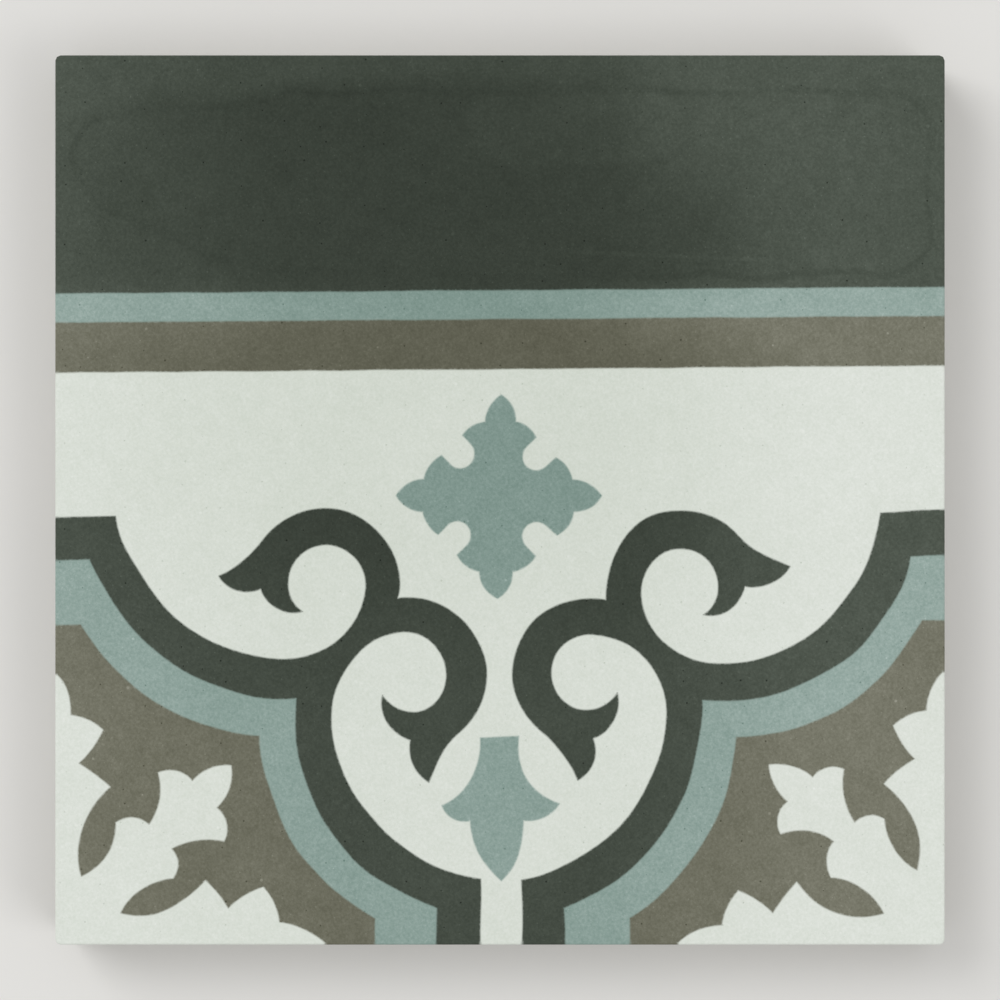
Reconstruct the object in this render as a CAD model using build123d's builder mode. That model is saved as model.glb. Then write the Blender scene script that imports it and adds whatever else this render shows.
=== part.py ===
from build123d import *
from build123d.topology import SkipClean
from math import asin, atan2, degrees, sqrt
import os

# Border tile of pressed cement. Coloured cement is poured face down into a metal divider, one
# colour to a cell, backed with grey mortar and pressed into one slab, so the tile is one solid.
# The outline of every pour divides its faces: on the wearing face, over the arris and down the
# sides as deep as the coloured layer goes. The origin is at the middle of the back, +Z is the
# wearing face, +Y the plain border and +X runs along it. Sizes are in millimetres.

# Slab
TILE_SIDE = 200.0
TILE_THICKNESS = 16.0
COLOUR_DEPTH = 3.5
CORNER_RADIUS = 1.2
FACE_ARRIS = 0.5
BACK_ARRIS = 0.8

# The pattern is drawn for a tile of this side, in the sizes below, and grows with the tile
DRAWN_SIDE = 200.0

# Straight bands, from the outer edge inwards
BORDER_BAND = 53.2
PALE_LINE = 6.6
UMBER_LINE = 10.7

# Quarter medallions, measured from the tile's corner. Each strip runs parallel to the next, round
# bowls that are centred on the tile's middle lines.
MEDALLION_GAP = 8.2
BOWL_OFFSET = 49.0
BOWL_RADIUS = 36.9
FOREST_STRIP = 8.4
PALE_STRIP = 8.1
FOREST_FLAT = 9.6
PALE_FLAT = 14.4

# Scrolls: the bowl tightens through a throat into a round eye, and a crown follows the eye outside
EYE_FROM_BOWL = (9.8, -19.6)
EYE_RADIUS = 8.8
EYE_END_ANGLE = 188.0
CROWN_WIDTH = 8.3
CROWN_END_ANGLE = 141.0
THROAT_RADIUS = 18.2
INNER_LEAF_FROM_EYE = (-5.3, -6.3)
LEAF_NOTCH_FROM_EYE = (-14.6, -0.7)
OUTER_LEAF_FROM_EYE = (-23.9, 2.9)
INNER_LEAF_RISE = 2.4
OUTER_LEAF_RISE = 1.8

# Flower in the medallion, one half of a quarter, from the leaf on the tile's edge to the leaf on
# the diagonal. Each corner has the rise of the arc that leads to it, left of the way drawn.
EDGE_LEAF_TIP = (0.0, 61.2)
EDGE_LEAF_WAIST = (4.6, 51.4)
EDGE_LOBE = (12.3, 47.9)
EDGE_NOTCH = (7.2, 40.3)
EDGE_CALYX = (13.8, 35.0)
PETAL_TIP = (7.5, 15.8)
PETAL_ROOT = (14.6, 27.4)
STEM_NOTCH = (21.9, 26.9)
CORNER_LOBE = (23.8, 38.6)
CORNER_NOTCH = (31.2, 36.9)
CORNER_LEAF_TIP = (40.3, 40.3)
EDGE_TIP_RISE = 1.0
EDGE_LOBE_RISE = 0.7
EDGE_NOTCH_RISE = 0.5
EDGE_CALYX_RISE = 0.3
PETAL_BACK_RISE = 3.1
PETAL_FRONT_RISE = 2.0
STEM_RISE = 1.3
CORNER_SIDE_RISE = 1.3
CORNER_LOBE_RISE = 1.4
CORNER_TIP_RISE = 1.2

# Cross flower at the middle of the tile, one eighth, from its own centre
CROSS_CENTRE = (0.0, 0.9)
CROSS_TIP = (0.0, 23.0)
CROSS_WAIST = (3.6, 16.8)
CROSS_LOBE = (8.6, 13.1)
CROSS_BITE_MOUTH = (6.55, 11.0)
CROSS_BITE_ROOT = (6.57, 6.57)
CROSS_TIP_RISE = 1.0
CROSS_LOBE_RISE = 0.7

# Bud between the medallions, right half, from the tile's centre
BUD_TOP = (3.9, -53.2)
BUD_LEAF_TIP = (13.3, -68.3)
BUD_WAIST = (6.0, -72.0)
BUD_TIP = (0.0, -86.0)
BUD_FLANK_RISE = 2.9
BUD_LEAF_RISE = 1.5
BUD_TIP_RISE = 1.5

# Worked out from the sizes above
FACE = Plane.XY.offset(TILE_THICKNESS)
PATTERN_SCALE = TILE_SIDE / DRAWN_SIDE
HALF_DRAWN = DRAWN_SIDE / 2
CORNER = (-HALF_DRAWN, -HALF_DRAWN)
DIAGONAL = Plane(origin=(0, 0, 0), z_dir=(1, -1, 0))
FOREST_EDGE = HALF_DRAWN - MEDALLION_GAP / 2
PALE_EDGE = FOREST_EDGE - FOREST_FLAT
UMBER_EDGE = PALE_EDGE - PALE_FLAT
BOWL_CENTRE = Vector(HALF_DRAWN - BOWL_OFFSET, HALF_DRAWN)
EYE_CENTRE = BOWL_CENTRE + EYE_FROM_BOWL
CROWN_RADIUS = EYE_RADIUS + CROWN_WIDTH


def heading(start, end):
    """Angle in degrees of the way from start to end."""
    way = end - start
    return degrees(atan2(way.Y, way.X))


def arc_about(centre, radius, start_angle, end_angle):
    """Anticlockwise arc about a centre from one angle to another."""
    return CenterArc(centre, radius, start_angle, (end_angle - start_angle) % 360)


def leaf_edges(start, *steps):
    """Chain of arcs from start. Each step is the next corner and the arc's rise, left of the way."""
    for corner, rise in steps:
        SagittaArc(start, corner, rise)
        start = corner


def throat_centre():
    """Centre of the throat's circle, which lies inside the bowl's, holds the eye's and touches both."""
    to_bowl = BOWL_RADIUS - THROAT_RADIUS
    to_eye = THROAT_RADIUS - EYE_RADIUS
    way = EYE_CENTRE - BOWL_CENTRE
    foot = (to_bowl**2 - to_eye**2 + way.length**2) / (2 * way.length)
    side = sqrt(to_bowl**2 - foot**2)
    along = way.normalized()
    return BOWL_CENTRE + along * foot + Vector(along.Y, -along.X) * side


def crown_notch():
    """Point on the diagonal where the crowns of a medallion's two scrolls meet."""
    middle = (EYE_CENTRE.X + EYE_CENTRE.Y) / 2
    half_gap = (EYE_CENTRE.Y - EYE_CENTRE.X) / 2
    reach = middle + sqrt(CROWN_RADIUS**2 / 2 - half_gap**2)
    return Vector(reach, reach)


# Profiles of a quarter medallion, one inside the other, in the corner's own frame
with BuildSketch() as scroll_profile:
    with BuildLine():
        throat = throat_centre()
        bowl_turn = heading(BOWL_CENTRE, throat)
        eye_turn = heading(throat, EYE_CENTRE)
        bowl_start = 180 + degrees(asin((BOWL_CENTRE.Y - FOREST_EDGE) / BOWL_RADIUS))
        bowl = arc_about(BOWL_CENTRE, BOWL_RADIUS, bowl_start, bowl_turn)
        Polyline((0, 0), (0, FOREST_EDGE), bowl @ 0)
        arc_about(throat, THROAT_RADIUS, bowl_turn, eye_turn)
        eye = arc_about(EYE_CENTRE, EYE_RADIUS, eye_turn, EYE_END_ANGLE)
        inner_leaf_tip = EYE_CENTRE + INNER_LEAF_FROM_EYE
        leaf_notch = EYE_CENTRE + LEAF_NOTCH_FROM_EYE
        outer_leaf_tip = EYE_CENTRE + OUTER_LEAF_FROM_EYE
        TangentArc(eye @ 1, inner_leaf_tip, tangent=eye % 1)
        leaf_edges(inner_leaf_tip, (leaf_notch, INNER_LEAF_RISE), (outer_leaf_tip, OUTER_LEAF_RISE))
        crown_start = heading(EYE_CENTRE, crown_notch())
        crown = arc_about(EYE_CENTRE, CROWN_RADIUS, crown_start, CROWN_END_ANGLE)
        TangentArc(crown @ 1, outer_leaf_tip, tangent=crown % 1)
        mirror(about=DIAGONAL)
    make_face()

with BuildSketch() as pale_profile:
    Rectangle(PALE_EDGE, PALE_EDGE, align=Align.MIN)
    with Locations(BOWL_CENTRE, (BOWL_CENTRE.Y, BOWL_CENTRE.X)):
        Circle(BOWL_RADIUS + FOREST_STRIP, mode=Mode.SUBTRACT)

with BuildSketch() as umber_profile:
    Rectangle(UMBER_EDGE, UMBER_EDGE, align=Align.MIN)
    with Locations(BOWL_CENTRE, (BOWL_CENTRE.Y, BOWL_CENTRE.X)):
        Circle(BOWL_RADIUS + FOREST_STRIP + PALE_STRIP, mode=Mode.SUBTRACT)

with BuildSketch() as flower_profile:
    with BuildLine():
        Line((0, 0), EDGE_LEAF_TIP)
        leaf_edges(
            EDGE_LEAF_TIP,
            (EDGE_LEAF_WAIST, EDGE_TIP_RISE),
            (EDGE_LOBE, EDGE_LOBE_RISE),
            (EDGE_NOTCH, EDGE_NOTCH_RISE),
            (EDGE_CALYX, EDGE_CALYX_RISE),
            (PETAL_TIP, -PETAL_BACK_RISE),
            (PETAL_ROOT, -PETAL_FRONT_RISE),
            (STEM_NOTCH, STEM_RISE),
            (CORNER_LOBE, -CORNER_SIDE_RISE),
            (CORNER_NOTCH, CORNER_LOBE_RISE),
            (CORNER_LEAF_TIP, CORNER_TIP_RISE),
        )
        mirror(about=DIAGONAL)
    make_face()

# Cross flower about its own centre, and the bud where it lies on the tile
with BuildSketch() as cross_profile:
    with BuildLine():
        leaf_edges(CROSS_TIP, (CROSS_WAIST, CROSS_TIP_RISE), (CROSS_LOBE, CROSS_LOBE_RISE))
        Line(CROSS_LOBE, CROSS_BITE_MOUTH)
        mirror(about=DIAGONAL)
        ThreePointArc(CROSS_BITE_MOUTH, CROSS_BITE_ROOT, CROSS_BITE_MOUTH[::-1])
        mirror(about=Plane.YZ)
        mirror(about=Plane.XZ)
    make_face()

with BuildSketch() as bud_profile:
    with BuildLine():
        Line((0, BUD_TOP[1]), BUD_TOP)
        leaf_edges(
            BUD_TOP,
            (BUD_LEAF_TIP, -BUD_FLANK_RISE),
            (BUD_WAIST, BUD_LEAF_RISE),
            (BUD_TIP, BUD_TIP_RISE),
        )
        mirror(about=Plane.YZ)
    make_face()

# The slab as it leaves the press
with BuildPart() as slab:
    Box(TILE_SIDE, TILE_SIDE, TILE_THICKNESS, align=(Align.CENTER, Align.CENTER, Align.MIN))
    fillet(slab.edges().filter_by(Axis.Z), CORNER_RADIUS)
    chamfer(slab.faces().sort_by(Axis.Z)[-1].edges(), FACE_ARRIS)
    chamfer(slab.faces().sort_by(Axis.Z)[0].edges(), BACK_ARRIS)

# Grey mortar behind the colours
with BuildPart() as backing:
    add(slab.part)
    split(bisect_by=FACE.offset(-COLOUR_DEPTH), keep=Keep.BOTTOM)

# Straight pours along the outer edge, from the border inwards
colour_pours = []
band_edge = HALF_DRAWN
for band_width in (BORDER_BAND, PALE_LINE, UMBER_LINE):
    with BuildPart() as band_pour:
        with BuildSketch(FACE):
            with Locations((0, band_edge)):
                Rectangle(DRAWN_SIDE, band_width, align=(Align.CENTER, Align.MAX))
            scale(by=PATTERN_SCALE, about=(0, 0))
        extrude(amount=-COLOUR_DEPTH)
        add(slab.part, mode=Mode.INTERSECT)
    colour_pours.append(band_pour.part)
    band_edge -= band_width

# Medallion pours in the two inner corners: each profile less the next one in
for profile, inner_profile in (
    (scroll_profile, pale_profile),
    (pale_profile, umber_profile),
    (umber_profile, flower_profile),
):
    with BuildPart() as ring_pour:
        with BuildSketch(FACE):
            with Locations(CORNER):
                add(profile.sketch)
                add(inner_profile.sketch, mode=Mode.SUBTRACT)
            mirror(about=Plane.YZ)
            scale(by=PATTERN_SCALE, about=(0, 0))
        extrude(amount=-COLOUR_DEPTH)
        add(slab.part, mode=Mode.INTERSECT)
    colour_pours.append(ring_pour.part)

# Pale flowers on the white ground
for profile, centre in ((cross_profile, CROSS_CENTRE), (bud_profile, (0, 0))):
    with BuildPart() as flower_pour:
        with BuildSketch(FACE):
            with Locations(centre):
                add(profile.sketch)
            scale(by=PATTERN_SCALE, about=(0, 0))
        extrude(amount=-COLOUR_DEPTH)
    colour_pours.append(flower_pour.part)

# White cement fills what the other colours leave, the medallions' flowers with it
with BuildPart() as white_pour:
    add(slab.part)
    add(backing.part, mode=Mode.SUBTRACT)
    add(colour_pours, mode=Mode.SUBTRACT)

# The press makes one solid of the pours and the mortar, with the pours' outlines left in its faces
with SkipClean():
    with BuildPart() as border_tile:
        add(backing.part)
        add(white_pour.part)
        add(colour_pours)

border_tile.part.label = "border_tile"
os.makedirs("parts", exist_ok=True)
export_step(border_tile.part, "parts/border_tile.step")
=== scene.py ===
import math
from collections import defaultdict

import bmesh
import bpy
import numpy as np
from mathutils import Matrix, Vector, kdtree, noise
from mathutils.geometry import delaunay_2d_cdt


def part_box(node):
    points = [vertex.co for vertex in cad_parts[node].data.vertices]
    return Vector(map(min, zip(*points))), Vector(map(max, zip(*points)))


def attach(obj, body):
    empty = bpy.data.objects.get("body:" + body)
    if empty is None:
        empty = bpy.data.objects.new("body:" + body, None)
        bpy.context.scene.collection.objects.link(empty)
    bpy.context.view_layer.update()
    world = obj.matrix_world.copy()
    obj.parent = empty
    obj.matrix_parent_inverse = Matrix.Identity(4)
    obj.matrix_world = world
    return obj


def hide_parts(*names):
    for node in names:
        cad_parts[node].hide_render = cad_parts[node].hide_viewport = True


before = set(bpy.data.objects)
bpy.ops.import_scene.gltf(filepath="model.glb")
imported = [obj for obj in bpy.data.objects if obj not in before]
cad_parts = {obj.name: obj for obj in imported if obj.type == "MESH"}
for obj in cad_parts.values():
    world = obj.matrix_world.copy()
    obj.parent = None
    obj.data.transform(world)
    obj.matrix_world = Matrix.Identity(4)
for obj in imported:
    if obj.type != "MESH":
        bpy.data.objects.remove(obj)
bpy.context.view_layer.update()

# Outlines of the colours.
# A divider of thin metal strips stands in the mould and keeps the wet colours apart while they are poured.
# Its strips are bent and set by hand, so every outline of a tile lies a little off the drawing.
MM = 0.001
MICRON = 0.000001
TILE = "border_tile"
FACE_SLACK = 0.01          # mm, how far from the highest level a facet of the face may lie
STRIP_STEP = 0.5           # mm between the points along an outline
CORNER_TURN = 30           # degrees, a sharper turn is a corner where two strips meet
STRAIGHT = 2.5             # a chord this many times as long as the next one is straight
half_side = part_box(TILE)[1].x / MM
face_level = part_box(TILE)[1].z / MM


def drawn_points():
    """Every point of the drawing's lines on the face, in microns, with the points next to it."""
    drawing = bmesh.new()
    drawing.from_mesh(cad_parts[TILE].data)
    lowest = (face_level - FACE_SLACK) * MM
    face = {f for f in drawing.faces if min(v.co.z for v in f.verts) > lowest}
    near = defaultdict(set)
    for facet in face:
        for edge in facet.edges:
            if len(face.intersection(edge.link_faces)) == 1:
                a, b = (tuple(round(c / MICRON) for c in v.co.xy) for v in edge.verts)
                near[a].add(b)
                near[b].add(a)
    drawing.free()
    return {point: sorted(near[point]) for point in sorted(near)}


def is_knot(point, near):
    """True where lines meet, where one turns a corner, and where a straight goes over into a bend."""
    if len(near[point]) != 2:
        return True
    before, after = (Vector(np.subtract(other, point)) for other in near[point])
    short, long = sorted((before.length, after.length))
    return long > short * STRAIGHT or math.degrees(before.angle(-after)) > CORNER_TURN


def drawn_runs(near):
    """The drawing's lines as runs of points from knot to knot."""
    knots = {point for point in near if is_knot(point, near)}
    walked = set()
    runs = []
    for start in sorted(knots):
        for following in near[start]:
            if (start, following) in walked:
                continue
            run = [start, following]
            while run[-1] not in knots:
                run.append(next(p for p in near[run[-1]] if p != run[-2]))
            walked.add((run[-1], run[-2]))
            runs.append(run)
    return runs


def bent_strip(run):
    """A run in mm, as a Hermite curve through its points with a point about every STRIP_STEP."""
    given = np.array(run) * (MICRON / MM)
    chord = np.linalg.norm(np.diff(given, axis=0), axis=1)
    reach = np.concatenate(([0.0], np.cumsum(chord)))
    along = np.linspace(0, reach[-1], max(1, round(reach[-1] / STRIP_STEP)) + 1)
    slope = np.gradient(given, reach, axis=0, edge_order=min(2, len(chord)))
    piece = np.clip(np.searchsorted(reach, along, side="right") - 1, 0, len(chord) - 1)
    size = chord[piece][:, None]
    t = (along - reach[piece])[:, None] / size
    return (
        (2 * t**3 - 3 * t**2 + 1) * given[piece]
        + (t**3 - 2 * t**2 + t) * size * slope[piece]
        + (3 * t**2 - 2 * t**3) * given[piece + 1]
        + (t**3 - t**2) * size * slope[piece + 1]
    )


# Where strips of this tile stand off the drawing, in mm: a place, how far the shift reaches, and the shift.
STRIP_SHIFTS = (
    ((-86, -4), 9, (-0.8, 0.4)),      # left medallion, upper flat
    ((-78, -20), 10, (1.1, 0.8)),     # its upper bowl, far wall
    ((-64, -33), 10, (0.6, 1.4)),
    ((-50, -37), 10, (0, 1.5)),       # its upper bowl, bottom
    ((-73, -36), 7, (0.7, 0.9)),      # its dark ring, outside
    ((-50, -46), 7, (-0.3, 0)),
    ((-31, -82), 7, (-0.9, -0.7)),
    ((-30, -94), 8, (0.1, 0.4)),      # its umber field, lower corner
    ((-77, -46), 7, (-0.3, -0.3)),    # its sage ring, outside
    ((-53, -58), 7, (-1.4, 0.3)),
    ((-46, -75), 7, (-1.2, -0.4)),
    ((-38, -48), 10, (-1.1, 0.3)),    # its lower bowl, near wall
    ((-40, -66), 11, (-0.5, 0.2)),
    ((-24, -76), 10, (0.4, 1.1)),     # its lower bowl, far wall
    ((-10, -85), 9, (-0.4, 0.8)),
    ((-4.1, -98), 9, (-1.1, 0)),      # its lower flat
    ((-39, -4), 9, (-0.3, 0.7)),      # upper left scroll, crown
    ((-38, -20), 8, (0.4, 0.8)),      # its eye
    ((-46, -20), 7, (0.7, 0.8)),
    ((-45, -26), 8, (0.1, 0.5)),      # its inner leaf
    ((-53, -10), 7, (-0.7, 0.2)),     # its back
    ((-62, -17), 9, (-0.4, -0.6)),    # its outer leaf
    ((-19, -36), 9, (-2.0, 0.9)),     # lower left scroll, eye
    ((-7, -40), 9, (-1.1, -0.3)),     # its crown
    ((-11, -54), 8, (-0.7, -0.1)),
    ((-26, -46), 7, (0, 0.7)),        # its inner leaf
    ((-16, -62), 8, (1.3, -0.7)),     # its outer leaf
    ((97, -4.1), 9, (0, 2.0)),        # right medallion, upper flat, which rises to the edge
    ((86, -5), 8, (-0.2, 1.1)),
    ((79, -20), 10, (-1.1, 0.7)),     # its upper bowl, far wall
    ((53, -37), 11, (0.3, 0.1)),      # its upper bowl, bottom
    ((88, -22), 7, (1.4, -0.3)),      # its dark ring, outside
    ((81, -32), 7, (0.9, -0.7)),
    ((67, -38), 7, (0, 0.3)),
    ((45, -57), 7, (-0.9, 0.5)),
    ((94, -27), 8, (0.3, 1.3)),       # its umber field, upper corner
    ((76, -46), 7, (0.9, -0.9)),      # its sage ring, outside
    ((65, -51), 7, (0.6, -0.9)),
    ((55, -52), 7, (-0.4, -0.2)),
    ((37, -50), 10, (0.6, 0.2)),      # its lower bowl, near wall
    ((33, -68), 11, (-0.4, 0.6)),
    ((18, -81), 10, (-0.1, 1.1)),     # its lower bowl, far wall
    ((5, -90), 9, (1.3, 0.4)),        # its lower flat
    ((4.1, -99), 8, (1.5, 0)),
    ((29, -95), 8, (1.2, 0.4)),       # its umber field, lower corner
    ((25, -15), 9, (2.5, 0)),         # upper right scroll, crown
    ((39, -20), 8, (0.6, -0.7)),      # its eye
    ((31, -22), 7, (0.8, -0.2)),
    ((52, -10), 8, (1.0, 0.8)),       # its back
    ((45, -26), 8, (1.4, 0.4)),       # its inner leaf
    ((63, -16.5), 8, (2.4, 1.9)),     # its outer leaf
    ((19.6, -39), 9, (0.7, 0.6)),     # lower right scroll, eye
    ((18, -30), 7, (0.6, -0.1)),
    ((5, -41), 9, (0.7, 0.1)),        # its crown
    ((9, -53), 8, (0.9, 0.3)),
    ((26, -44), 7, (0.4, 1.7)),       # its inner leaf
    ((17, -62), 8, (1.2, 0)),         # its outer leaf
    ((0, 0.9), 18, (-0.7, 0.1)),      # cross flower
    ((-9, 11), 7, (0.3, 0.9)),        # its upper left side
    ((-3, 19), 7, (0.7, -0.3)),
    ((-7, -14), 7, (-1.3, -0.3)),     # its lower arm
    ((7, -12), 7, (-0.6, -0.6)),
    ((0, -68), 14, (-0.9, -0.3)),     # bud
    ((-62, -62), 12, (-0.3, 0)),      # left flower, corner leaf
    ((-65, -75), 7, (-0.6, -1.0)),
    ((-83, -71), 7, (-0.6, 0.7)),
    ((-93, -60), 12, (-1.8, 0.5)),    # its upper leaf
    ((-92, -80), 10, (-1.9, -0.5)),
    ((-85, -77), 7, (-0.3, -0.5)),
    ((-62, -93), 12, (-1.4, 1.0)),    # its lower leaf
    ((-83, -92), 9, (-0.9, -0.4)),
    ((72, -74), 18, (1.6, 1.0)),      # right flower, corner leaf
    ((70, -77), 7, (1.9, 1.9)),
    ((79, -72), 7, (1.3, 0)),
    ((94, -58), 12, (0.6, 1.6)),      # its upper leaf
    ((87, -65), 7, (-1.2, 1.0)),
    ((92, -80), 10, (1.0, 1.3)),
    ((60, -94), 12, (1.6, -0.3)),     # its lower leaf
    ((74, -93), 7, (1.6, -0.8)),
    ((84, -92), 9, (2.2, -0.9)),
)
SLACK_SHARE = 0.25         # how soon a shift fades where no other is near
LINE_LEVELS = 30, 40, 47   # mm up the tile, the border's three straight lines
LINE_RISES = -0.1, 0.45, 0.35   # mm, how much each stands high at the middle
LINE_TILT = 0.0077         # and climbs by this share of the way to the right
LINES_FROM, LINES_FULL = 12, 28   # mm up the tile, between which the lines' shift comes in
LINES_FADE, LINES_TO = 56, 90     # and between which it goes out again
EDGE_HOLD = 6              # mm from the mould's walls, where the strips are held in line
BEND_SIZE, BEND = 9, 0.14  # mm, size and depth of the strips' slack bends
RAGGED_SIZE, RAGGED = 1.4, 0.05   # mm, size and depth of the ragged edge that the pour leaves
BEND_SEED = 7              # the same bends on every run
noise.seed_set(BEND_SEED)


def eased(value, low, high):
    """0 below low, 1 above high, and a smooth rise between."""
    t = np.clip((value - low) / (high - low), 0, 1)
    return t * t * (3 - 2 * t)


def uneven(places, size, depth):
    """Smooth random shifts in the plane, for places in mm."""
    found = [noise.noise_vector(Vector((x / size, y / size, size)))[:2] for x, y in places]
    return depth * np.array(found)


def hand_set(places, rim):
    """Places of the drawing as the hand-set strips have them, straight at the rim by the mould's walls."""
    places = np.asarray(places, float).reshape(-1, 2)
    x, y = places.T
    spots, reaches, shifts = (np.array(part, float) for part in zip(*STRIP_SHIFTS))
    apart = np.linalg.norm(places[:, None] - spots, axis=2)
    weight = np.exp(-((apart / reaches) ** 2))
    moved = weight @ shifts * (1 + SLACK_SHARE) / (weight.sum(1) + SLACK_SHARE)[:, None]
    on_lines = eased(y, LINES_FROM, LINES_FULL) * (1 - eased(y, LINES_FADE, LINES_TO))
    moved[:, 1] += on_lines * (np.interp(y, LINE_LEVELS, LINE_RISES) + LINE_TILT * x)
    moved += uneven(places, BEND_SIZE, BEND) + uneven(places, RAGGED_SIZE, RAGGED)
    return places + moved * eased(rim - np.abs(places), 0, EDGE_HOLD)


runs = drawn_runs(drawn_points())
rim = max(max(abs(c) for c in run[0]) for run in runs) * MICRON / MM

# The wearing face.
# Coloured cements are poured face down against a polished plate, a few millimetres deep, and pressed.
# The face is flat and the colours lie flush. Where two meet, they run into each other by a hair's breadth.
SEAM = 0.32                # mm, how far a colour runs into the next
GRID = 1.5                 # mm between points inside a colour
SEAM_CLEAR, GRID_CLEAR = 0.8, 0.4   # shares of the two that points keep clear of an outline or a seam
SAME_PLACE = 1e-6          # mm, points nearer than this are one
INSIDE_JOINS = 1           # the way of laying triangles that keeps to the inside of the outermost joins
FACE_ROLL_SIZE, FACE_ROLL = 28, 0.02   # mm, size and depth of the plate's faint unevenness
FOREST, SAGE, UMBER, WHITE, MORTAR = range(5)
POURED_AT = {              # mm, a place in each pool of the divider that takes the colour
    FOREST: ((0, 73), (-97, -8), (97, -8)),
    SAGE: ((0, 43.5), (-97, -21), (97, -21), (0, 0.9), (0, -65)),
    UMBER: ((0, 34.9), (-97, -34), (97, -34)),
    WHITE: ((0, 27), (-97, -97), (97, -97)),
}


def kept_clear(places, lines, distance):
    """The places that are at least that far from every point of the lines, and inside the rim."""
    tree = kdtree.KDTree(len(lines))
    for i, (x, y) in enumerate(lines):
        tree.insert((x, y, 0), i)
    tree.balance()
    return [
        (x, y) for x, y in places
        if max(abs(x), abs(y)) < rim - distance and tree.find((x, y, 0))[2] >= distance
    ]


def laid_grid(half, spacing):
    """Points over a square, in rows that are offset by half a space."""
    rows = np.arange(-half, half, spacing * math.sqrt(3) / 2)
    columns = np.arange(-half, half, spacing)
    return [(x + spacing / 2 * (k % 2), y) for k, y in enumerate(rows) for x in columns]


def facets(points, joins):
    """Triangles over the points, turned anticlockwise, that keep the joins as edges."""
    found = delaunay_2d_cdt([Vector(p) for p in points], joins, [], INSIDE_JOINS, SAME_PLACE)
    places = np.array([tuple(p) for p in found[0]])
    triangles = np.array(found[2])
    a, b, c = (places[triangles[:, k]] for k in range(3))
    turned = np.cross(b - a, c - a) < 0
    triangles[turned] = triangles[turned][:, ::-1]
    kept_joins = {frozenset(e) for e, source in zip(found[1], found[4]) if source}
    return places, triangles, kept_joins


def pools(triangles, joins):
    """For each triangle, the number of the pool it lies in, a pool being closed in by joins."""
    sides = defaultdict(list)
    for k, (a, b, c) in enumerate(triangles.tolist()):
        for pair in ((a, b), (b, c), (c, a)):
            sides[frozenset(pair)].append(k)
    near = defaultdict(list)
    for pair, owners in sides.items():
        if len(owners) == 2 and pair not in joins:
            near[owners[0]].append(owners[1])
            near[owners[1]].append(owners[0])
    pool = np.full(len(triangles), -1)
    count = 0
    for start in range(len(triangles)):
        if pool[start] >= 0:
            continue
        pool[start] = count
        reached = [start]
        while reached:
            for other in near[reached.pop()]:
                if pool[other] < 0:
                    pool[other] = count
                    reached.append(other)
        count += 1
    return pool


def triangle_at(place, places, triangles):
    """The number of the triangle that holds a place."""
    a, b, c = (places[triangles[:, k]] for k in range(3))
    holds = np.ones(len(triangles), bool)
    for start, end in ((a, b), (b, c), (c, a)):
        holds &= np.cross(end - start, place - start) >= 0
    return int(np.flatnonzero(holds)[0])


line_points, joins, knot_number, seam_points = [], [], {}, []
for run in runs:
    strip = hand_set(bent_strip(run), rim)
    knots = {0: run[0], len(strip) - 1: run[-1]}
    numbers = []
    for k, place in enumerate(strip):
        knot = knots.get(k)
        if knot in knot_number:
            numbers.append(knot_number[knot])
            continue
        if knot:
            knot_number[knot] = len(line_points)
        numbers.append(len(line_points))
        line_points.append(tuple(place))
    joins += list(zip(numbers, numbers[1:]))
    across = np.gradient(strip, axis=0)[:, ::-1] * (-1, 1)
    across *= SEAM / np.linalg.norm(across, axis=1)[:, None]
    seam_points += [tuple(p) for side in (across, -across) for p in strip + side]
face_points = (
    line_points
    + kept_clear(seam_points, line_points, SEAM * SEAM_CLEAR)
    + kept_clear(laid_grid(rim, GRID), line_points, SEAM + GRID * GRID_CLEAR)
)
face_places, face_triangles, face_joins = facets(face_points, joins)
face_pool = pools(face_triangles, face_joins)
face_colour = np.full(len(face_triangles), -1)
for colour, spots in POURED_AT.items():
    for spot in hand_set(spots, rim):
        pool = face_pool[triangle_at(spot, face_places, face_triangles)]
        face_colour[face_pool == pool] = colour
face_roll = [noise.noise(Vector((x, y, 0)) / FACE_ROLL_SIZE) for x, y in face_places]
face_rise = FACE_ROLL * (np.array(face_roll) - 1)

# The edges and the back.
# The mould's walls leave the edges straight and plain. The colours show there a few millimetres deep, and
# grey mortar of sand and cement, pressed in behind them, makes up the rest and the plain back.
FACE_ARRIS, BACK_ARRIS = 0.5, 0.8   # mm, the rounded edges round the face and round the back
CORNER_RADIUS = 1.2                 # mm, the upright corners
ARRIS_STEPS = 4
COLOUR_DEPTH, DEPTH_DRIFT, DEPTH_SIZE = 3.5, 0.5, 7   # mm, depth of the colours, and its drift
COLOUR_ROWS = 0.3, 0.6, 0.88, 1     # shares of the colours' depth, where the edge has a row of points
MORTAR_ROWS = 0.03, 0.07, *np.linspace(0.2, 1, 7)     # and shares of the mortar's depth below them
EDGE_ROLL_SIZE, EDGE_ROLL = 5, 0.06   # mm, size and depth of the edges' faint unevenness
EDGE_ROLL_FINER = 3                   # and how many times finer it is upright
BACK_GRID, BACK_CLEAR = 2.2, 0.6      # mm between points of the back, and the share of it clear of the rim
BACK_PIT_SIZE, BACK_PIT = 2.6, 0.16   # mm, size and depth of the mortar's shallow pits in the back
BACK_PIT_LAYERS = 2

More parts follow.
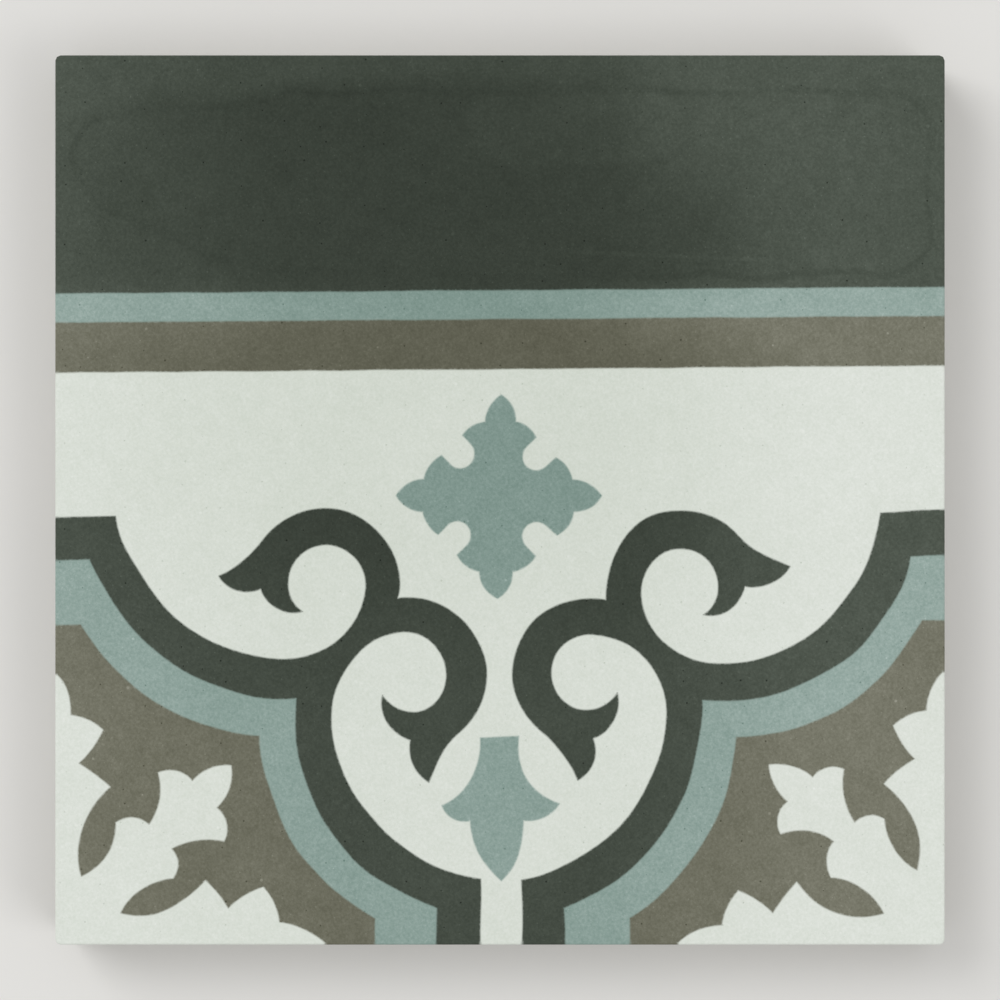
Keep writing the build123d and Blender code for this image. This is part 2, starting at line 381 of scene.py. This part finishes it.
# The face's outermost points in order round it, and the colour that each takes down the edge.
directed = {}
for k, (a, b, c) in enumerate(face_triangles.tolist()):
    for pair in ((a, b), (b, c), (c, a)):
        directed[pair] = k
rim_next = {a: (b, k) for (a, b), k in directed.items() if (b, a) not in directed}
rim_loop = [min(rim_next)]
while rim_next[rim_loop[-1]][0] != rim_loop[0]:
    rim_loop.append(rim_next[rim_loop[-1]][0])
rim_colour = np.array([face_colour[rim_next[k][1]] for k in rim_loop])
rim_places = face_places[rim_loop]
core = np.clip(rim_places, CORNER_RADIUS - half_side, half_side - CORNER_RADIUS)
outward = (rim_places - core) / np.linalg.norm(rim_places - core, axis=1)[:, None]

drift = np.array([noise.noise(Vector((x, y, 0)) / DEPTH_SIZE) for x, y in rim_places])
colour_end = face_level - COLOUR_DEPTH + DEPTH_DRIFT * drift
arris_turn = np.linspace(0, math.pi / 2, ARRIS_STEPS + 1)
rows = []                            # each an offset and a height, for every column of the edge
for turn in arris_turn[1:]:
    rows.append((FACE_ARRIS * math.sin(turn), face_level - FACE_ARRIS * (1 - math.cos(turn))))
upper_end = face_level - FACE_ARRIS
rows += [(FACE_ARRIS, upper_end + (colour_end - upper_end) * t) for t in COLOUR_ROWS]
colour_rows = len(rows)
rows += [(FACE_ARRIS, colour_end + (BACK_ARRIS - colour_end) * t) for t in MORTAR_ROWS]
for turn in arris_turn[1:]:
    rows.append((FACE_ARRIS - BACK_ARRIS * (1 - math.cos(turn)), BACK_ARRIS * (1 - math.sin(turn))))

edge_points = []
for k, (offset, height) in enumerate(rows):
    height = np.broadcast_to(height, len(rim_loop))
    places = rim_places + outward * offset
    if ARRIS_STEPS <= k < len(rows) - 1:
        spots = np.column_stack((places, EDGE_ROLL_FINER * height))
        roll = [noise.noise(Vector(spot) / EDGE_ROLL_SIZE) for spot in spots]
        places = places + outward * (EDGE_ROLL * (np.array(roll) - 1))[:, None]
    edge_points.append(np.column_stack((places, height)))

back_rim = edge_points[-1][:, :2]
back_inner = kept_clear(laid_grid(rim, BACK_GRID), back_rim, BACK_GRID * BACK_CLEAR)
back_joins = [(k, (k + 1) % len(back_rim)) for k in range(len(back_rim))]
back_places, back_triangles, _ = facets([tuple(p) for p in back_rim] + back_inner, back_joins)
back_pits = [
    noise.turbulence_vector(Vector((x, y, 0)) / BACK_PIT_SIZE, BACK_PIT_LAYERS, False)[0]
    for x, y in back_places
]
back_rise = BACK_PIT * np.clip(np.array(back_pits), 0, 1)
back_rise[:len(back_rim)] = 0

# Points are numbered over the face, down the edge row by row, and over the back, which starts with its rim,
# the edge's last row.
columns = len(rim_loop)
face_count = len(face_places)
edge_numbers = face_count + np.arange(len(rows) * columns).reshape(-1, columns)
row_numbers = np.vstack((rim_loop, edge_numbers))
back_numbers = edge_numbers[-1, 0] + np.arange(len(back_places))
after = np.roll(np.arange(columns), -1)
edge_quads, edge_colour = [], []
for k, (upper, lower) in enumerate(zip(row_numbers, row_numbers[1:])):
    edge_quads += np.column_stack((upper, lower, lower[after], upper[after])).tolist()
    edge_colour += rim_colour.tolist() if k < colour_rows else [MORTAR] * columns

# Pressed cement.
# White cement with pigment, coloured through and rubbed to a matt face. It drinks water and seal unevenly:
# the middle of the tile is deeper in tone than its ends, with faint clouds, fine grain and a few pinholes.
# Each pinhole's colour is darkened as painted shade in its hollow.


def written(red, green, blue):
    """A colour written as 0 to 255, as the light it reflects."""
    shares = [c / 255 for c in (red, green, blue)]
    return tuple(s / 12.92 if s <= 0.04045 else ((s + 0.055) / 1.055) ** 2.4 for s in shares) + (1,)


PIGMENTS = {
    FOREST: ("forest_cement", written(74, 82, 72)),
    SAGE: ("sage_cement", written(146, 166, 159)),
    UMBER: ("umber_cement", written(116, 116, 101)),
    WHITE: ("white_cement", written(219, 224, 216)),
    MORTAR: ("grey_mortar", written(163, 160, 152)),
}
NUMBER, COLOUR = "NodeSocketFloat", "NodeSocketColor"
RISING, FADING = (0, 1), (1, 0)
OFF_SQUARE = 0.7, 0.5, 1.1   # radians, a turn out of the tile's own directions
LEAST_SPOT = 0.4             # added to a random share from 0 to 1, for the radius of a spot
SPOT_RIM = 0.4, 1            # shares of the radius between which a spot fades


def fitted(tree, kind, sockets=None, **settings):
    """A new node in the tree, with its settings, and its sockets set to values or joined to outputs."""
    made = tree.nodes.new(kind)
    for name, value in settings.items():
        setattr(made, name, value)
    for name, value in (sockets or {}).items():
        if isinstance(value, bpy.types.NodeSocket):
            tree.links.new(value, made.inputs[name])
        else:
            made.inputs[name].default_value = value
    return made


def worked_out(tree, operation, first, second=0):
    """The outcome of an operation on one or two values."""
    return fitted(tree, "ShaderNodeMath", {0: first, 1: second}, operation=operation).outputs[0]


def times(tree, first, second):
    """One value times another."""
    return worked_out(tree, "MULTIPLY", first, second)


def totalled(tree, first, parts):
    """The first value with each part added in its share."""
    total = first
    for part, share in parts:
        total = worked_out(tree, "ADD", total, times(tree, part, share))
    return total


def ranged(tree, value, over, change=RISING):
    """A smooth change from one number to another, while the value goes over a range."""
    made = fitted(tree, "ShaderNodeMapRange", {
        "Value": value, "From Min": over[0], "From Max": over[1], "To Min": change[0], "To Max": change[1],
    }, interpolation_type="SMOOTHSTEP")
    return made.outputs["Result"]


def group_of(name, inputs, outputs):
    """An empty node group with its sockets, and its two end nodes."""
    made = bpy.data.node_groups.new(name, "ShaderNodeTree")
    for label, kind, start in inputs:
        socket = made.interface.new_socket(label, in_out="INPUT", socket_type=kind)
        socket.default_value = start
    for label, kind in outputs:
        made.interface.new_socket(label, in_out="OUTPUT", socket_type=kind)
    return made, made.nodes.new("NodeGroupInput").outputs, made.nodes.new("NodeGroupOutput").inputs


def place_in_mm(tree, upright=1):
    """Places on the tile in mm, drawn out along the edges' height where upright is under 1."""
    place = fitted(tree, "ShaderNodeTexCoord").outputs["Object"]
    per_mm = (1 / MM, 1 / MM, upright / MM)
    return fitted(tree, "ShaderNodeVectorMath", {0: place, 1: per_mm}, operation="MULTIPLY").outputs[0]


def ways_of(tree, place):
    """The place's X, Y and Z, each a value of its own."""
    return fitted(tree, "ShaderNodeSeparateXYZ", {0: place}).outputs


def turned_place(tree, place):
    """The place in turned directions, so that random patches don't line up with the tile's sides."""
    made = fitted(tree, "ShaderNodeVectorRotate", {
        "Vector": place, "Rotation": OFF_SQUARE,
    }, rotation_type="EULER_XYZ")
    return made.outputs[0]


def cloudy(tree, place, size, layers, rough):
    """Soft random patches about that many mm across, from about -0.3 to 0.3."""
    made = fitted(tree, "ShaderNodeTexNoise", {
        "Vector": place, "Scale": 1 / size, "Detail": layers, "Roughness": rough,
    })
    return worked_out(tree, "SUBTRACT", made.outputs["Fac"], 0.5)


def spots_in(tree, place, spacing, share, size, dimensions="2D"):
    """A mask of small round spots: one to a cell of that spacing in mm, in a share of the cells."""
    cells = fitted(tree, "ShaderNodeTexVoronoi", {
        "Vector": place, "Scale": 1 / spacing,
    }, voronoi_dimensions=dimensions)
    pick = fitted(tree, "ShaderNodeSeparateColor", {0: cells.outputs["Color"]}).outputs
    chosen = worked_out(tree, "LESS_THAN", pick["Red"], share)
    radius = times(tree, worked_out(tree, "ADD", pick["Green"], LEAST_SPOT), size / spacing)
    away = worked_out(tree, "DIVIDE", cells.outputs["Distance"], radius)
    return times(tree, chosen, ranged(tree, away, SPOT_RIM, FADING))


# Where the cement is deeper in tone, in mm along and up the tile.
DAMP_LEFT, DAMP_RIGHT = (-130, -35), (12, 70)    # where the tone comes in along the tile, and goes out
DAMP_UP, DAMP_BELOW = (-50, 5), 0.45             # where it grows up the tile, and its share below that
DAMP_WANDER_SIZE, DAMP_WANDER = 30, 22           # size and depth of the bends in its outline
RIGHT_LEAN_UP, RIGHT_LEAN = (44, 96), (-9, 10)   # how its right end leans to the left up the border
SAGE_LINE_IN, SAGE_LINE_OUT = (30, 44), (44, 52)   # the sage line, where it is shorter
SHORTER_LEFT, SHORTER_RIGHT = 22, 20             # by so much at either end


def damp_middle():
    """How deep the cement's tone is: 0 at the dry right end, 1 at the damp middle."""
    tree, _, ends = group_of("damp_middle", (), (("Depth", NUMBER),))
    place = place_in_mm(tree)
    ways = ways_of(tree, place)
    along = totalled(tree, ways["X"], (
        (cloudy(tree, place, size=DAMP_WANDER_SIZE, layers=2, rough=0.5), DAMP_WANDER),
    ))
    lean = ranged(tree, ways["Y"], RIGHT_LEAN_UP, RIGHT_LEAN)
    line_in = ranged(tree, ways["Y"], SAGE_LINE_IN)
    line_out = ranged(tree, ways["Y"], SAGE_LINE_OUT, FADING)
    on_line = times(tree, line_in, line_out)
    left_end = totalled(tree, along, ((on_line, -SHORTER_LEFT),))
    right_end = totalled(tree, along, ((lean, 1), (on_line, SHORTER_RIGHT)))
    across = times(tree, ranged(tree, left_end, DAMP_LEFT), ranged(tree, right_end, DAMP_RIGHT, FADING))
    upward = ranged(tree, ways["Y"], DAMP_UP, (DAMP_BELOW, 1))
    tree.links.new(times(tree, across, upward), ends["Depth"])
    return tree


damp_tree = damp_middle()
ON_FACE = face_level - 0.4, face_level - 0.2   # mm, the levels between which pinholes and flecks come in
PINHOLE_PAINTED_SHADE, FLECK_TONE = 0.45, -0.16         # how much darker a pinhole's colour is painted, as painted shade in its hollow, and how much paler a fleck is
GRAIN_SPREAD = -0.25, 0.25                     # the numbers that the grain lies between
SEAM_STEEPNESS = 0.7, 3                        # how soon a colour gives out in the next, grain by grain
SEAM_MIX = 0.5                                 # on their line, two colours are mixed half and half
MATT = 0.62                                    # roughness of the rubbed face


def pressed_cement():
    """Colour, roughness and relief of pressed cement in a pigment."""
    tree, given, ends = group_of("pressed_cement", (
        ("Pigment", COLOUR, (0.5, 0.5, 0.5, 1)),
        ("Damp", NUMBER, 0.3),
        ("Clouds", NUMBER, 0.15),
        ("Grain", NUMBER, 0.4),
        ("Mark", NUMBER, 0.0),
        ("Grit", NUMBER, 0.0),
    ), (("Color", COLOUR), ("Roughness", NUMBER), ("Relief", NUMBER)))
    place = place_in_mm(tree)
    turned = turned_place(tree, place)
    clouds = cloudy(tree, turned, size=20, layers=2, rough=0.6)
    mottle = cloudy(tree, turned, size=3.2, layers=1, rough=0.5)
    grain = cloudy(tree, turned, size=0.7, layers=2, rough=0.75)
    on_face = ranged(tree, ways_of(tree, place)["Z"], ON_FACE)
    pinholes = times(tree, spots_in(tree, place, spacing=4.5, share=0.35, size=0.2), on_face)
    flecks = times(tree, spots_in(tree, place, spacing=1.9, share=0.45, size=0.16), on_face)

    damp = fitted(tree, "ShaderNodeGroup", node_tree=damp_tree).outputs["Depth"]
    depth = totalled(tree, 1, (
        (damp, given["Damp"]),
        (clouds, given["Clouds"]),
        (mottle, given["Clouds"]),
        (grain, given["Grain"]),
        # painted shade: the colour is darkened inside each pinhole's hollow
        (pinholes, PINHOLE_PAINTED_SHADE),
        (flecks, FLECK_TONE),
        (given["Mark"], 1),
    ))
    next_colour = fitted(tree, "ShaderNodeAttribute", attribute_name="next_colour").outputs["Color"]
    seam = fitted(tree, "ShaderNodeAttribute", attribute_name="seam").outputs["Fac"]
    steepness = ranged(tree, grain, GRAIN_SPREAD, SEAM_STEEPNESS)
    run_in = times(tree, worked_out(tree, "POWER", seam, steepness), SEAM_MIX)
    run_pigment = fitted(tree, "ShaderNodeMix", {
        "Factor": run_in, "A": given["Pigment"], "B": next_colour,
    }, data_type="RGBA").outputs[2]
    toned = fitted(tree, "ShaderNodeGamma", {"Color": run_pigment, "Gamma": depth}).outputs[0]
    roughness = totalled(tree, MATT, ((clouds, 0.2), (grain, 0.15), (pinholes, 0.2)))
    relief = totalled(tree, given["Grit"], ((grain, 2), (pinholes, -3)))
    tree.links.new(toned, ends["Color"])
    tree.links.new(roughness, ends["Roughness"])
    tree.links.new(relief, ends["Relief"])
    return tree


cement_tree = pressed_cement()

# Marks on the dark border: drying water's tide line and the paler rim outside it, a paler patch, a streak
# from wiping and specks of lime. Places and widths are in mm, and a tone under 0 is paler.
TIDE_TOP_ALONG, TIDE_TOP = (-100, -20), (86.5, 92)           # the line's upper level along the tile
TIDE_BOTTOM_ALONG, TIDE_BOTTOM = (-105, -42), (68, 50.5)     # and its lower level
TIDE_HALF_WIDTH, TIDE_CORNER, TIDE_WANDER = 96.5, 11, 6      # its half width, rounded corners and bends
TIDE_OFF, TIDE_TONE = (0.2, 1.3), (0.06, 0)                  # from its middle outward
TIDE_HALVES = 62, 76                                         # between its lower and its upper half
UPPER_PATCHES, UPPER_SHOWN = (-0.08, 0.1), (0.2, 1)          # the upper half shows in random patches
LEFT_END, LEFT_SHOWN = (-75, -50), (0.5, 0.1)                # the lower half shows at its two ends
RIGHT_END, RIGHT_SHOWN = (25, 45), (0.1, 1)
RIM_OUT, RIM_TONE = (-0.5, 6), (0, -0.13)                    # from the line outward
RIM_UP, RIM_SHOWN = (55, 85), (0.35, 1)                      # the rim shows more up the tile
PATCH_MIDDLE, PATCH_HALVES = (16, 84), (24, 9)
PATCH_POWER, PATCH_WANDER = 4, 1.5                           # how square the patch is, and its bends
PATCH_OUT, PATCH_TONE = (0.4, 1.3), (-0.05, 0)               # from its middle outward
STREAK_START, STREAK_END, STREAK_TAPER = (14, 55.8), (64, 53.8), 8
STREAK_OFF, STREAK_TONE = (0.2, 0.7), -0.05                  # from its middle outward
SPECK_TONE = -0.11
BORDER_FROM = 40                                             # the marks are on the plain border only


def outside_tide(tree, ways, wander):
    """How far a place lies outside the tide line, which runs round a box with rounded corners."""
    top = ranged(tree, ways["X"], TIDE_TOP_ALONG, TIDE_TOP)
    bottom = ranged(tree, ways["X"], TIDE_BOTTOM_ALONG, TIDE_BOTTOM)
    above = worked_out(tree, "SUBTRACT", ways["Y"], top)
    below = worked_out(tree, "SUBTRACT", bottom, ways["Y"])
    upward = worked_out(tree, "MAXIMUM", above, below)
    sideways = worked_out(tree, "SUBTRACT", worked_out(tree, "ABSOLUTE", ways["X"]), TIDE_HALF_WIDTH)
    past_corner = []
    for way in (upward, sideways):
        past = worked_out(tree, "MAXIMUM", worked_out(tree, "ADD", way, TIDE_CORNER), 0)
        past_corner.append(worked_out(tree, "POWER", past, 2))
    reach = worked_out(tree, "SQRT", worked_out(tree, "ADD", *past_corner))
    return totalled(tree, worked_out(tree, "SUBTRACT", reach, TIDE_CORNER), ((wander, TIDE_WANDER),))


def tide_line(tree, place, ways, outside):
    """The tone of the tide line, faint here and there."""
    patches = cloudy(tree, place, size=26, layers=1, rough=0.5)
    on_upper = ranged(tree, patches, UPPER_PATCHES, UPPER_SHOWN)
    on_left = ranged(tree, ways["X"], LEFT_END, LEFT_SHOWN)
    on_right = ranged(tree, ways["X"], RIGHT_END, RIGHT_SHOWN)
    on_lower = worked_out(tree, "MAXIMUM", on_left, on_right)
    upper_half = ranged(tree, ways["Y"], TIDE_HALVES)
    shown = fitted(tree, "ShaderNodeMix", {0: upper_half, 2: on_lower, 3: on_upper}).outputs[0]
    return times(tree, ranged(tree, worked_out(tree, "ABSOLUTE", outside), TIDE_OFF, TIDE_TONE), shown)


def paler_rim(tree, ways, outside):
    """The tone outside the tide line, where the border has dried."""
    damp = fitted(tree, "ShaderNodeGroup", node_tree=damp_tree).outputs["Depth"]
    shown = times(tree, damp, ranged(tree, ways["Y"], RIM_UP, RIM_SHOWN))
    return times(tree, ranged(tree, outside, RIM_OUT, RIM_TONE), shown)


def paler_patch(tree, ways, wander):
    """The tone of a worn patch with soft, bent sides."""
    off_middle = []
    for way, middle, half in zip((ways["X"], ways["Y"]), PATCH_MIDDLE, PATCH_HALVES):
        share = worked_out(tree, "DIVIDE", worked_out(tree, "SUBTRACT", way, middle), half)
        off_middle.append(worked_out(tree, "POWER", share, PATCH_POWER))
    outward = totalled(tree, worked_out(tree, "ADD", *off_middle), ((wander, PATCH_WANDER),))
    return ranged(tree, outward, PATCH_OUT, PATCH_TONE)


def wiped_streak(tree, ways):
    """A mask of a thin straight streak that tapers off at both ends."""
    (start_x, start_y), (end_x, end_y) = STREAK_START, STREAK_END
    level = fitted(tree, "ShaderNodeMapRange", {
        "Value": ways["X"], "From Min": start_x, "From Max": end_x, "To Min": start_y, "To Max": end_y,
    }).outputs["Result"]
    off = worked_out(tree, "ABSOLUTE", worked_out(tree, "SUBTRACT", ways["Y"], level))
    at_start = ranged(tree, ways["X"], (start_x, start_x + STREAK_TAPER))
    at_end = ranged(tree, ways["X"], (end_x - STREAK_TAPER, end_x), FADING)
    return times(tree, ranged(tree, off, STREAK_OFF, FADING), times(tree, at_start, at_end))


def border_marks(tree):
    """All the marks of the dark border together."""
    place = place_in_mm(tree)
    ways = ways_of(tree, place)
    wander = cloudy(tree, place, size=20, layers=2, rough=0.5)
    outside = outside_tide(tree, ways, wander)
    marks = totalled(tree, tide_line(tree, place, ways, outside), (
        (paler_rim(tree, ways, outside), 1),
        (paler_patch(tree, ways, wander), 1),
        (wiped_streak(tree, ways), STREAK_TONE),
        (spots_in(tree, place, spacing=12, share=0.5, size=0.4), SPECK_TONE),
    ))
    return {"Mark": times(tree, marks, worked_out(tree, "GREATER_THAN", ways["Y"], BORDER_FROM))}


LIME_TONE = -0.25          # how much paler a speck is than its colour


def lime_specks():
    """A few specks of lime that show pale in a colour."""
    tree, _, ends = group_of("lime_specks", (), (("Mark", NUMBER),))
    specks = spots_in(tree, place_in_mm(tree), spacing=14, share=0.5, size=0.35)
    tree.links.new(times(tree, specks, LIME_TONE), ends["Mark"])
    return tree


lime_tree = lime_specks()


def lime_marks(tree):
    """Specks of lime alone, for a colour with no other marks."""
    return {"Mark": fitted(tree, "ShaderNodeGroup", node_tree=lime_tree).outputs["Mark"]}


SAND_COLOUR = written(196, 190, 176)
SAND_SHARE = 0.36          # how much of its own colour a pale grain shows
SCRAPE_DRAWN = 0.05        # a scrape's width for its length, up the edge


def sand_and_scrapes(tree):
    """Grains of sand, dark and pale, and the fine scrapes that the mould's walls leave on the edges."""
    place = place_in_mm(tree)
    pale_sand = spots_in(tree, place, spacing=1.1, share=0.6, size=0.36, dimensions="3D")
    dark_sand = spots_in(tree, place, spacing=1.5, share=0.5, size=0.36, dimensions="3D")
    scrapes = cloudy(tree, place_in_mm(tree, SCRAPE_DRAWN), size=0.7, layers=2, rough=0.6)
    sandy = fitted(tree, "ShaderNodeMix", {
        "Factor": times(tree, pale_sand, SAND_SHARE), "A": PIGMENTS[MORTAR][1], "B": SAND_COLOUR,
    }, data_type="RGBA").outputs[2]
    return {
        "Pigment": sandy,
        "Mark": totalled(tree, 0, ((dark_sand, 0.5), (scrapes, 0.36))),
        "Grit": totalled(tree, 0, ((pale_sand, 0.6), (dark_sand, 0.6), (scrapes, 1.2))),
    }


CEMENT_SHINE = 0.2         # specular level of the matt face
RELIEF_STRENGTH, RELIEF_DEPTH = 0.4, 0.06   # how much of the grain's relief shows, and its depth in mm


def cement(number, marks, **values):
    """The material of one pigment, with its own marks."""
    name, pigment = PIGMENTS[number]
    made = bpy.data.materials.new(name)
    made.use_nodes = True
    tree = made.node_tree
    shader = tree.nodes["Principled BSDF"]
    shader.inputs["Specular IOR Level"].default_value = CEMENT_SHINE
    pressed = fitted(tree, "ShaderNodeGroup", {
        "Pigment": pigment, **values, **marks(tree),
    }, node_tree=cement_tree)
    bump = fitted(tree, "ShaderNodeBump", {
        "Height": pressed.outputs["Relief"], "Strength": RELIEF_STRENGTH, "Distance": RELIEF_DEPTH * MM,
    })
    tree.links.new(pressed.outputs["Color"], shader.inputs["Base Color"])
    tree.links.new(pressed.outputs["Roughness"], shader.inputs["Roughness"])
    tree.links.new(bump.outputs[0], shader.inputs["Normal"])
    return made


cements = [
    cement(FOREST, border_marks, Clouds=0.11, Grain=0.37),
    cement(SAGE, lime_marks, Damp=0.27, Grain=0.62),
    cement(UMBER, lime_marks, Damp=0.28, Grain=0.46),
    cement(WHITE, lime_marks, Clouds=0.2, Grain=0.76),
    cement(MORTAR, sand_and_scrapes, Damp=0.0, Clouds=0.25, Grain=0.7),
]

# The pressed tile.
# One stroke of the press makes one slab of the colours and the mortar behind them, with one closed skin.
# Every facet has its own colour, and on a seam it also knows the colour that runs into it.
tile_points = np.concatenate((
    np.column_stack((face_places, face_level + face_rise)),
    *edge_points[:-1],
    np.column_stack((back_places, back_rise)),
))
tile_faces = face_triangles.tolist() + edge_quads + back_numbers[back_triangles[:, ::-1]].tolist()
tile_colour = np.array(face_colour.tolist() + edge_colour + [MORTAR] * len(back_triangles))
mesh = bpy.data.meshes.new("pressed_tile")
mesh.from_pydata((tile_points * MM).tolist(), [], tile_faces)
for made in cements:
    mesh.materials.append(made)
mesh.polygons.foreach_set("material_index", tile_colour)
mesh.polygons.foreach_set("use_smooth", np.ones(len(tile_faces), bool))

touches = np.zeros((len(PIGMENTS), len(tile_points)), bool)
for corners, colour in zip(tile_faces, tile_colour):
    touches[colour, corners] = True
seam_layer = mesh.attributes.new("seam", "FLOAT", "POINT")
seam_layer.data.foreach_set("value", (touches.sum(0) > 1).astype(np.float32))
pigment_table = np.array([PIGMENTS[k][1] for k in range(len(PIGMENTS))])
next_colours = pigment_table[tile_colour]
for k, (corners, colour) in enumerate(zip(tile_faces, tile_colour)):
    others = touches[:, corners].any(1)
    others[colour] = False
    if others.any():
        next_colours[k] = pigment_table[others].mean(0)
next_layer = mesh.attributes.new("next_colour", "FLOAT_COLOR", "FACE")
next_layer.data.foreach_set("color", next_colours.astype(np.float32).ravel())
mesh.update()

# The sheet that the tile's skin is laid out on: the face as a square, the edges in strips above it,
# and the back beside it, drawn narrower.
SHEET_FACE, SHEET_GAP = 0.745, 0.01         # shares of the sheet's side
SIDE_WAYS = np.array(((0, 1), (-1, 0), (0, -1), (1, 0)))   # the way round, along each of the four sides
sheet_rest = 1 - SHEET_FACE - SHEET_GAP
strip_width = sheet_rest / len(SIDE_WAYS)
face_sheet = (face_places / (2 * half_side) + 0.5) * SHEET_FACE
back_sheet = (back_places * (-1, 1) / (2 * half_side) + 0.5) * (sheet_rest, SHEET_FACE)
back_sheet[:, 0] += SHEET_FACE + SHEET_GAP
edge_rings = np.array([np.column_stack((rim_places, face_level + face_rise[rim_loop]))] + edge_points)
ring_gaps = np.linalg.norm(np.diff(edge_rings, axis=0), axis=2)
down = np.concatenate((np.zeros((1, columns)), np.cumsum(ring_gaps, axis=0)))
down *= (strip_width - SHEET_GAP / 2) / down.max()
between = (rim_places + rim_places[after]) / 2
on_x = np.abs(between[:, 0]) > np.abs(between[:, 1])
side = np.where(on_x, np.where(between[:, 0] > 0, 0, 2), np.where(between[:, 1] > 0, 1, 3))
outer = edge_points[ARRIS_STEPS][:, :2]
u_start, u_end = (
    ((places * SIDE_WAYS[side]).sum(1) / (2 * half_side) + 0.5) * SHEET_FACE
    for places in (outer, outer[after])
)
v_top = 1 - side * strip_width
edge_sheet = []
for k in range(len(rows)):
    upper, lower = down[k], down[k + 1]
    quad = ((u_start, upper), (u_start, lower), (u_end, lower[after]), (u_end, upper[after]))
    edge_sheet.append(np.stack([np.column_stack((u, v_top - v)) for u, v in quad], axis=1))
sheet = np.concatenate((
    face_sheet[face_triangles].reshape(-1, 2),
    np.concatenate(edge_sheet).reshape(-1, 2),
    back_sheet[back_triangles[:, ::-1]].reshape(-1, 2),
))
mesh.uv_layers.new(name="OFBake").data.foreach_set("uv", sheet.astype(np.float32).ravel())
tile = bpy.data.objects.new("pressed_tile", mesh)
bpy.context.scene.collection.objects.link(tile)
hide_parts(TILE)
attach(tile, "root")

# The studio.
# A plain pale floor under the tile, two large soft lamps and an even sky. The camera looks straight down
# on the face.
FLOOR_REACH, FLOOR_LEVEL = 6.0, -0.00005   # m, the floor is a hair below the tile's back
FLOOR_COLOUR, FLOOR_ROUGHNESS, FLOOR_SHINE = written(226, 225, 222), 0.9, 0.1
SKY_COLOUR, SKY_STRENGTH = (1, 1, 1, 1), 0.62
LAMP_SIZE = 3.2                            # m
LAMPS = {                                  # places in m, and watts
    "key_lamp": ((-3.2, 2.5, 3.2), 116),
    "fill_lamp": ((3.5, -1.8, 3.2), 63),
}
LENS, SENSOR = 100, 36                     # mm
TILE_IN_FRAME = 0.89                       # share of the frame that the tile fills

floor_mesh = bpy.data.meshes.new("floor")
floor_mesh.from_pydata(
    [(x * FLOOR_REACH, y * FLOOR_REACH, FLOOR_LEVEL) for x, y in ((-1, -1), (1, -1), (1, 1), (-1, 1))],
    [], [(0, 1, 2, 3)])
floor = bpy.data.objects.new("floor", floor_mesh)
bpy.context.scene.collection.objects.link(floor)
pale = bpy.data.materials.new("pale_floor")
pale.use_nodes = True
pale_sockets = pale.node_tree.nodes["Principled BSDF"].inputs
pale_sockets["Base Color"].default_value = FLOOR_COLOUR
pale_sockets["Roughness"].default_value = FLOOR_ROUGHNESS
pale_sockets["Specular IOR Level"].default_value = FLOOR_SHINE
floor_mesh.materials.append(pale)

world = bpy.data.worlds.new("studio")
world.use_nodes = True
world.node_tree.nodes["Background"].inputs["Color"].default_value = SKY_COLOUR
world.node_tree.nodes["Background"].inputs["Strength"].default_value = SKY_STRENGTH
bpy.context.scene.world = world
for name, (place, power) in LAMPS.items():
    lamp = bpy.data.lights.new(name, "AREA")
    lamp.size = LAMP_SIZE
    lamp.energy = power
    lamp_object = bpy.data.objects.new(name, lamp)
    lamp_object.location = place
    lamp_object.rotation_mode = "QUATERNION"
    lamp_object.rotation_quaternion = (-Vector(place)).to_track_quat("-Z", "Y")
    bpy.context.scene.collection.objects.link(lamp_object)

camera_data = bpy.data.cameras.new("camera")
camera_data.lens = LENS
camera_data.sensor_width = SENSOR
camera = bpy.data.objects.new("camera", camera_data)
frame_width = 2 * half_side * MM / TILE_IN_FRAME
camera.location = (0, 0, face_level * MM + frame_width * LENS / SENSOR)
bpy.context.scene.collection.objects.link(camera)
bpy.context.scene.camera = camera
bpy.context.scene.view_settings.view_transform = "Standard"
